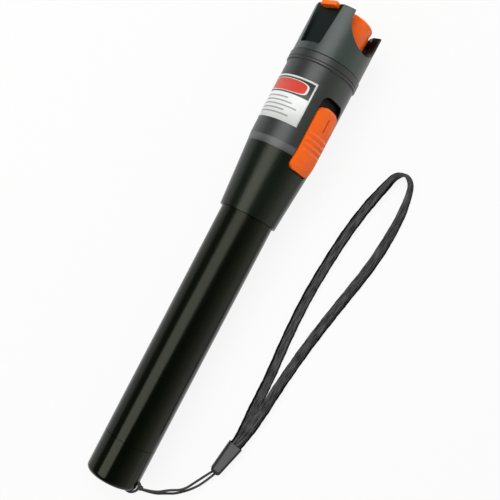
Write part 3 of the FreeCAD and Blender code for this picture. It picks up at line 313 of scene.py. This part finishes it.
def moulded(name, colour, roughness=0.45, contrast=0.12, depth=0.00002, sheen=0.5, painted_light=None):
    """Moulded plastic; an optional function of the finish paints shade and highlight on each place, from 0, dark,
    over 0.5, plain, to 1, pale.
    """
    finish = Finish(name)
    flow, grain, wear = moulding(finish)
    shade = mottled(finish, flow, colour, contrast)
    if painted_light:
        level = painted_light(finish)
        # painted shade where the level is under 0.5, painted highlight where it is over
        shade = finish.mix(level * 2.0, opaque(colour, 0.1), shade)
        shade = finish.mix(level * 2.0 - 1.0, shade, opaque(colour, 2.0))
    return finish.set(Base_Color=shade, Specular_IOR_Level=sheen, Roughness=wear * 0.16 + (roughness - 0.08),
                      Normal=finish.bump(grain, depth, 0.5))


def shell_plastic(head, barrel):
    """Moulded shell: slate head, greyer collar and barrel, a painted highlight on the bevel, and painted shade in
    the recesses and along the seam.
    """
    finish = Finish("body_plastic")
    across, side, along = finish.on_pen()
    flow, grain, wear = moulding(finish)
    shade = finish.mix(along.above(HEAD_SEAM, 0.0001), mottled(finish, flow, barrel, 0.15),
                       mottled(finish, flow, head, 0.15))
    # painted highlight: the bevel over the cone is made three times as pale as the barrel
    shade = finish.mix(1.0 - along.above(BEVEL_END, 0.0003), shade, opaque(barrel, 3.0))
    # painted shade: the recesses inside the head's radius and a thin line at the head's seam are darkened, and the
    # recesses are also made metallic
    recess_shade = 1.0 - ((across * across + side * side) ** 0.5).above(HEAD_INSIDE, 0.0006)
    seam_shade = (along.above(HEAD_SEAM - SEAM_WIDTH / 2, 0.0001)
            - along.above(HEAD_SEAM + SEAM_WIDTH / 2, 0.0001))
    return finish.set(
        Base_Color=finish.mix(recess_shade.then("MAXIMUM", seam_shade * 0.9) * 0.95, shade, (0.005, 0.012, 0.011, 1)),
        Metallic=recess_shade * 0.85, Roughness=wear * 0.14 + 0.3, Normal=finish.bump(grain, 0.00002, 0.5))


def painted_lip_highlight(finish):
    """A painted highlight on the dust cap's rim, over a slight painted shade on the rest of the orange."""
    return finish.on_pen()[2].above(CAP_LIP, 0.0004) * 0.12 + 0.48


def painted_ferrule_shade(finish):
    """Painted shade on the edges round the plainer upper face."""
    lined_up = finish.node("ShaderNodeVectorRotate", {"rotation_type": "Z_AXIS"}, _0=finish.place(),
                           Center=FERRULE, Angle=math.radians(-FERRULE_TURN))
    along, across, _ = finish.split(finish.less(lined_up, FERRULE))
    half = along * 0.067 + 0.0019
    face = (half - across.then("ABSOLUTE")).above(0.0008, 0.0005) * along.above(0.0012, 0.0008)
    return face * 0.4 + 0.04


def turned(name, colour):
    """Turned metal: fine tool marks round the pen's axis, and a soft mottle."""
    finish = Finish(name)
    rings = finish.noise(finish.join(finish.on_pen()[2] * 9000.0, 0.0, 0.0), 1.0, 1.0)
    mottle = finish.noise(finish.place(), 90.0, 3.0)
    return finish.set(
        Base_Color=mottled(finish, mottle * 0.6 + rings * 0.4, colour, 0.1), Metallic=1.0,
        Roughness=rings * 0.1 + 0.25, Normal=finish.bump(rings, 0.000004, 0.4))


def anodised(name, colour, roughness=0.12, sheen=0.2):
    """Anodised tube: dark and satin, with drawing marks along the pen and tiny pits."""
    finish = Finish(name)
    across, side, along = finish.on_pen()
    drawn = finish.noise(finish.join(across * 2600.0, side * 2600.0, along * 40.0), 1.0, 2.0)
    mottle = finish.noise(finish.place(), 60.0, 3.0)
    pits = finish.noise(finish.place(), 2600.0, 1.0).above(0.7, 0.08)
    shade = finish.mix(drawn * 0.5 + mottle * 0.5, opaque(colour, 0.7), opaque(colour, 1.4))
    return finish.set(
        Base_Color=finish.mix(pits * 0.4, shade, opaque(colour, 2.2)), Specular_Tint=(0.97, 1.0, 0.8, 1),
        Specular_IOR_Level=sheen, Roughness=drawn * 0.08 + mottle * 0.08 + along * 1.3 + (roughness - 0.08),
        Normal=finish.bump(drawn, 0.000003, 0.35))


def woven_cord(name, colour):
    """Thin braid that runs round its centreline."""
    finish = Finish(name)
    along, around = finish.on_sheet()
    one = (along / WEAVE_PITCH * math.tau + around * 4 * math.tau).then("SINE")
    two = (along / WEAVE_PITCH * math.tau - around * 4 * math.tau).then("SINE")
    braid = one.then("MAXIMUM", two) * 0.5 + 0.5
    fuzz = finish.noise(finish.place(), 3000.0, 2.0)
    shade = finish.mix(braid * 0.7 + fuzz * 0.3, opaque(colour, 0.45), opaque(colour, 1.5))
    return finish.set(Base_Color=shade, Specular_IOR_Level=0.1, Roughness=fuzz * 0.2 + 0.6,
                      Normal=finish.bump(braid, 0.00008, 0.8))


def label_paper(colours):
    """A plain sticker: a dark header with a plain field in it, and ruled lines under it."""
    finish = Finish("label")
    u, v = finish.on_sheet()
    header = (v.above(0.6, 0.01) * (1.0 - v.above(0.962, 0.008))
              * (u.above(0.03, 0.006) * (1.0 - u.above(0.972, 0.006))))
    field = ((u - 0.475) / 0.43) ** 4.0 + ((v - 0.78) / 0.145) ** 4.0
    rows = v * 11.0
    row = rows.then("FRACT")
    line = row.above(0.32, 0.1) * (1.0 - row.above(0.68, 0.1)) * (1.0 - v.above(0.53, 0.01)) * v.above(0.09, 0.01)
    ends = 0.9 - (rows.then("FLOOR") * 0.37).then("FRACT") * 0.3
    margin = u.above(0.09, 0.01) * (1.0 - u.above(ends, 0.01))
    blemish = finish.noise(finish.place(), 500.0, 3.0)
    shade = finish.mix(line * margin * 0.6, opaque(colours.paper), opaque(colours.ink))
    shade = finish.mix(header, shade, opaque(colours.ink))
    shade = finish.mix(1.0 - field.above(1.0, 0.12), shade, opaque(colours.paper))
    shade = finish.mix(1.0 - field.above(0.72, 0.12), shade, opaque(colours.field))
    return finish.set(Base_Color=finish.mix(blemish * 0.12, shade, (0.2, 0.21, 0.2, 1)),
                      Roughness=blemish * 0.15 + 0.35, Normal=finish.bump(blemish, 0.00001, 0.3))


def strap_cloth(colours):
    """Woven tape: weft and warp with long slubs, painted shade along its edges, and a painted shade line along a
    fold on its far part.
    """
    finish = Finish("strap_cloth")
    along, across = finish.on_sheet()
    slub = finish.noise(finish.join(along * 230.0, across * 7.0, 0.0), 1.0, 3.0)
    ragged = across + (slub - 0.5) * 0.1
    weft = (along / WEAVE_PITCH * math.tau).then("SINE")
    warp = (across * (math.tau * 7)).then("SINE")
    fuzz = finish.noise(finish.place(), 2600.0, 3.0)
    shade = finish.mix(weft * warp * 0.25 + warp * 0.15 + slub * 3.0 + fuzz * 0.3 - 1.15,
                       opaque(colours.strap, 0.25), opaque(colours.strap, 1.7))
    # painted shade on the edges where the side walls turn from the light: the low edge all along and the high edge
    # on its first 12 cm, and a painted shade line in the fold from 13 cm on
    edge_shade = ragged.above(0.38, 0.06) * (1.0 - along.above(0.12, 0.01)) + 1.0 - ragged.above(-0.31, 0.06)
    fold_shade = (ragged.above(-0.25, 0.02) - ragged.above(-0.2, 0.02)) * along.above(0.13, 0.02)
    return finish.set(Base_Color=finish.mix(edge_shade + fold_shade, shade, opaque(colours.strap, 0.06)),
                      Specular_IOR_Level=0.06, Roughness=fuzz * 0.2 + 0.75,
                      Normal=finish.bump(weft * warp * 0.4 + fuzz * 0.4, 0.00015, 0.8))


def finishes(colours):
    """The material of each slot that the record names."""
    glass = moulded("glass", (0.8, 0.88, 0.92), 0.06, 0.03, depth=0.000002)
    glass.set(Transmission_Weight=0.85, IOR=1.5)
    return {
        "body_plastic": shell_plastic(colours.head, colours.barrel),
        "orange": moulded("orange", colours.accent, 0.34, 0.06, sheen=0.22, painted_light=painted_lip_highlight),
        "black_plastic": moulded("black_plastic", (0.004, 0.004, 0.003), 0.5, sheen=0.15),
        "carrier_plastic": moulded("carrier_plastic", (0.03, 0.03, 0.032), 0.5),
        "black_anodised": anodised("black_anodised", colours.tube),
        "cone_black": anodised("cone_black", colours.cone, 0.14, 0.28),
        "cell_sleeve": moulded("cell_sleeve", (0.16, 0.2, 0.26), 0.25, 0.1),
        "brass": turned("brass", (0.62, 0.42, 0.14)),
        "steel": turned("steel", (0.5, 0.51, 0.52)),
        "board": moulded("board", (0.01, 0.11, 0.035), 0.35, 0.25),
        "ceramic": moulded("ceramic", (0.86, 0.86, 0.82), 0.15, 0.02),
        "glass": glass,
        "rubber": moulded("rubber", (0.02, 0.02, 0.02), 0.7, 0.2),
        "ferrule_plastic": moulded("ferrule_plastic", colours.ferrule, 0.5, 0.15, sheen=0.15, painted_light=painted_ferrule_shade),
    }


# --- shapes --------------------------------------------------------------------------------------


def route_points(name, corners):
    """A smooth NURBS route through a cord's control points, and the points that it gives."""
    curve = bpy.data.curves.new(name, "CURVE")
    curve.dimensions = "3D"
    curve.resolution_u = 12
    spline = curve.splines.new("NURBS")
    spline.points.add(len(corners) - 1)
    for point, corner in zip(spline.points, corners):
        point.co = (*(Vector(corner) * MM), 1.0)
    spline.order_u = 3
    spline.use_endpoint_u = True
    piece = bpy.data.objects.new(name, curve)
    bpy.context.scene.collection.objects.link(piece)
    bpy.context.view_layer.update()
    mesh = bpy.data.meshes.new_from_object(piece)
    points = [vertex.co.copy() for vertex in mesh.vertices]
    bpy.data.objects.remove(piece)
    bpy.data.curves.remove(curve)
    bpy.data.meshes.remove(mesh)
    return points


def measured(points):
    """How far along a route each of its points lies."""
    reach = [0.0]
    for one, two in zip(points, points[1:]):
        reach.append(reach[-1] + (two - one).length)
    return reach


def piece_from(name, form):
    """The piece that a bmesh gives, with its faces outward."""
    bmesh.ops.recalc_face_normals(form, faces=form.faces)
    mesh = bpy.data.meshes.new(name)
    form.to_mesh(mesh)
    form.free()
    piece = bpy.data.objects.new(name, mesh)
    bpy.context.scene.collection.objects.link(piece)
    return piece


def tube_along(name, points, profile, up=Vector((0, 0, 1))):
    """A tube that follows points; profile(reach) gives its section as (aside, upward, pattern place)."""
    reach = measured(points)
    form = bmesh.new()
    uv = form.loops.layers.uv.new("UVMap")
    rings, places = [], []
    for k, point in enumerate(points):
        ahead = (points[min(k + 1, len(points) - 1)] - points[max(k - 1, 0)]).normalized()
        aside = ahead.cross(up).normalized()
        upward = aside.cross(ahead).normalized()
        section = profile(reach[k])
        rings.append([form.verts.new(point + aside * x + upward * z) for x, z, _ in section])
        places = [place for _, _, place in section]
    places.append(places[0] + (1.0 if places[-1] > 0.5 else 0.0))
    count = len(rings[0])
    for k in range(len(rings) - 1):
        for j in range(count):
            face = form.faces.new((rings[k][j], rings[k][(j + 1) % count],
                                   rings[k + 1][(j + 1) % count], rings[k + 1][j]))
            face.smooth = True
            for loop, (row, column) in zip(face.loops, ((k, j), (k, j + 1), (k + 1, j + 1), (k + 1, j))):
                loop[uv].uv = (reach[row], places[column])
    form.faces.new(reversed(rings[0]))
    form.faces.new(rings[-1])
    return piece_from(name, form)


def circle(radius, count=16):
    """A round section for tube_along."""
    return [(radius * math.cos(k * math.tau / count), radius * math.sin(k * math.tau / count), k / count)
            for k in range(count)]


def along_table(table, place):
    """The value at a place in a table of (place, value) rows, in straight lines between them."""
    for (low, one), (high, two) in zip(table, table[1:]):
        if low <= place < high:
            return one + (two - one) * (place - low) / (high - low)
    return table[0][1] if place < table[0][0] else table[-1][1]


# --- operators -----------------------------------------------------------------------------------


class FAULT_OT_finishes(Operator):
    """Gives every CAD piece the finish of its material slot"""

    bl_idname = "fault.finishes"
    bl_label = "Finish the CAD pieces"

    def execute(self, context):
        made = finishes(context.scene.fault_colours)
        cloth = woven_cord("cord_cloth", (0.005, 0.005, 0.005))
        for part in frame["record"]["subparts"]:
            finish = made.get(part["material_slot"], cloth)
            mesh = frame["nodes"][part["node"]].data
            mesh.materials.clear()
            mesh.materials.append(finish.material)
        return {"FINISHED"}


def dress(piece, cloth):
    """Puts a cord's cloth on a piece, and the piece on the tail cap."""
    piece.data.materials.append(cloth)
    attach(piece, "tail")


class FAULT_OT_label(Operator):
    """Bends the blank sticker round the barrel"""

    bl_idname = "fault.label"
    bl_label = "Stick on the label"

    def execute(self, context):
        form = bmesh.new()
        bmesh.ops.create_grid(form, x_segments=32, y_segments=2, size=0.5)
        uv = form.loops.layers.uv.new("UVMap")
        for face in form.faces:
            face.smooth = True
            for loop in face.loops:
                loop[uv].uv = (loop.vert.co.x + 0.5, loop.vert.co.y + 0.5)
        for vert in form.verts:
            u, v = vert.co.x + 0.5, vert.co.y + 0.5
            vert.co = pen_point(LABEL_FROM + (LABEL_TO - LABEL_FROM) * u, LABEL_RADIUS,
                                LABEL_LOW + (LABEL_HIGH - LABEL_LOW) * v)
        label = piece_from("label", form)
        paper = label.modifiers.new("paper", "SOLIDIFY")
        paper.thickness, paper.offset = LABEL_THICKNESS, 1.0
        label.data.materials.append(label_paper(context.scene.fault_colours).material)
        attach(label, "barrel")
        return {"FINISHED"}


class FAULT_OT_strap(Operator):
    """Lays the woven strap along its loop"""

    bl_idname = "fault.strap"
    bl_label = "Lay the strap"

    def execute(self, context):
        sizes = context.scene.fault_sizes
        points = route_points("strap_route", STRAP)
        half, thick = sizes.strap_width / 2, sizes.strap_thickness / 2
        reach = measured(points)
        edgeways = reach[min(range(len(points)), key=lambda k: (points[k] - STRAP_EDGEWAYS).length)]

        def section(place):
            roll = math.radians(along_table(STRAP_ROLL, place - edgeways))
            lift = half * math.sin(roll) + thick * (math.cos(roll) - 1)
            uneven = 1 + 0.02 * math.sin(place * 2100) + 0.025 * math.sin(place * 790)
            return [(x * half * uneven * math.cos(roll) - z * thick * math.sin(roll),
                     x * half * uneven * math.sin(roll) + z * thick * math.cos(roll) + lift, x / 2)
                    for x, z in STRAP_SECTION]

        strap = tube_along("strap", points, section)
        dress(strap, strap_cloth(context.scene.fault_colours).material)
        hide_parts("lanyard_strap")
        return {"FINISHED"}


class FAULT_OT_cords(Operator):
    """Makes the thin cord: its loop through the eye, the knot, and two strands to the strap's ferrule"""

    bl_idname = "fault.cords"
    bl_label = "Make the thin cords"

    def execute(self, context):
        radius = context.scene.fault_sizes.cord_diameter / 2
        cloth = bpy.data.materials["cord_cloth"]  # the CAD model's own plain material
        for name, corners in (("strand_a", STRAND_A), ("strand_b", STRAND_B)):
            points = route_points(name + "_route", corners)
            strand = tube_along(name, points, lambda reach: circle(radius))
            dress(strand, cloth)
            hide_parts("lanyard_cord_" + name[-1])

        eye = (pen_point(EYE_TURN, 1.0, 0.0) - TAIL_END).normalized()
        beside = AXIS.cross(eye)
        corners = [tuple(pen_point(EYE_TURN, out * MM, along * MM) / MM) for out, along in LOOP]
        round_eye = route_points("loop_route", corners)
        turns = []
        for k in range(KNOT_TURNS * KNOT_STEPS + 1):
            angle = k * math.tau / KNOT_STEPS
            out = KNOT[0] + KNOT_PITCH * (k / KNOT_STEPS - KNOT_TURNS / 2)
            middle = pen_point(EYE_TURN, out * MM, KNOT[1] * MM)
            turns.append(middle + (AXIS * math.cos(angle) + beside * math.sin(angle)) * radius * 1.15)
        for name, pieces in (
                ("loop", [tube_along("loop", [point + beside * shift for point in round_eye],
                                     lambda reach: circle(radius, 12), beside) for shift in (-radius, radius)]),
                ("knot", [tube_along("knot", turns, lambda reach: circle(radius, 12), eye)])):
            for piece in pieces:
                dress(piece, cloth)
            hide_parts("lanyard_" + name)
        return {"FINISHED"}


def lay_floor():
    """A pale paper floor, which looks white to the rays that see the background."""
    bpy.ops.mesh.primitive_plane_add(size=3.0)
    floor = bpy.context.object
    floor.name = "floor"
    paper = Finish("paper")
    grain = paper.noise(paper.place(), 300.0, 2.0)
    paper.set(Base_Color=paper.mix(grain, (0.76, 0.76, 0.76, 1), (0.82, 0.82, 0.82, 1)), Roughness=0.9)
    bright = paper.node("ShaderNodeEmission", None, Strength=1.0)
    paper.feed(paper.output.inputs[0], paper.node(
        "ShaderNodeMixShader", None, _0=paper.behind() * 0.88, _1=paper.shader, _2=bright))
    floor.data.materials.append(paper.material)


def light_studio(scene):
    """A dim room with a bright side and a dark ceiling, white where the camera sees it, and one key light."""
    world = bpy.data.worlds.new("studio")
    scene.world = world
    world.use_nodes = True
    studio = Nodes(world.node_tree)
    _, side, height = studio.split(studio.place("Generated"))
    right = 1.0 - (side + 0.15).above(0.0, 0.5)
    low = 1.0 - height.then("MAXIMUM", 0.0)
    room = (right * 1.1 + 0.08) * low + low ** 10.0 * 0.3 + 0.01
    seen = studio.node("ShaderNodeLightPath", output="Is Camera Ray")
    studio.node("ShaderNodeOutputWorld", None, Surface=studio.node(
        "ShaderNodeBackground", None, Color=studio.mix(right * (1.0 - seen), WHITE, (0.97, 1.0, 0.86, 1)),
        Strength=room * (1.0 - seen) + seen * 0.97))

    light = bpy.data.lights.new("key", "AREA")
    light.shape = "RECTANGLE"
    light.size, light.size_y = 1.6, 0.56
    light.energy = 10.0
    lamp = bpy.data.objects.new("key", light)
    scene.collection.objects.link(lamp)
    lamp.location = (0.05, 0.37, 0.72)
    lamp.rotation_euler = (math.radians(-29.0), 0, math.radians(-28.0))


def place_camera(scene):
    """The camera looks straight down on the pen, from near its middle."""
    lens = bpy.data.cameras.new("camera")
    lens.lens, lens.sensor_width = 54.65, 36.0
    lens.shift_x, lens.shift_y = 0.0537, 0.1031
    lens.clip_start = 0.01
    camera = bpy.data.objects.new("camera", lens)
    scene.collection.objects.link(camera)
    camera.location = (-0.0166, -0.0063, scene.fault_sizes.camera_height)
    camera.rotation_euler = (0, 0, math.radians(-62.37))
    scene.camera = camera


class FAULT_OT_stage(Operator):
    """Sets the floor, the lights and the camera"""

    bl_idname = "fault.stage"
    bl_label = "Set the stage"

    def execute(self, context):
        scene = context.scene
        lay_floor()
        light_studio(scene)
        place_camera(scene)
        scene.view_settings.view_transform = "Standard"
        return {"FINISHED"}


# --- panel and registration ----------------------------------------------------------------------


class FAULT_PT_panel(Panel):
    """Lists the steps that build the looks"""

    bl_idname = "FAULT_PT_panel"
    bl_label = "Fault locator"
    bl_space_type = "VIEW_3D"
    bl_region_type = "UI"
    bl_category = "Fault locator"

    def draw(self, context):
        for operator in OPERATORS:
            self.layout.operator(operator.bl_idname)


OPERATORS = (FAULT_OT_finishes, FAULT_OT_label, FAULT_OT_strap, FAULT_OT_cords, FAULT_OT_stage)
CLASSES = (FAULT_PG_sizes, FAULT_PG_colours, *OPERATORS, FAULT_PT_panel)


def register():
    for item in CLASSES:
        bpy.utils.register_class(item)
    bpy.types.Scene.fault_sizes = PointerProperty(type=FAULT_PG_sizes)
    bpy.types.Scene.fault_colours = PointerProperty(type=FAULT_PG_colours)


def unregister():
    del bpy.types.Scene.fault_colours
    del bpy.types.Scene.fault_sizes
    for item in reversed(CLASSES):
        bpy.utils.unregister_class(item)


def main():
    register()
    bpy.ops.fault.finishes()
    bpy.ops.fault.label()
    bpy.ops.fault.strap()
    bpy.ops.fault.cords()
    bpy.ops.fault.stage()


if __name__ == "__main__":
    main()
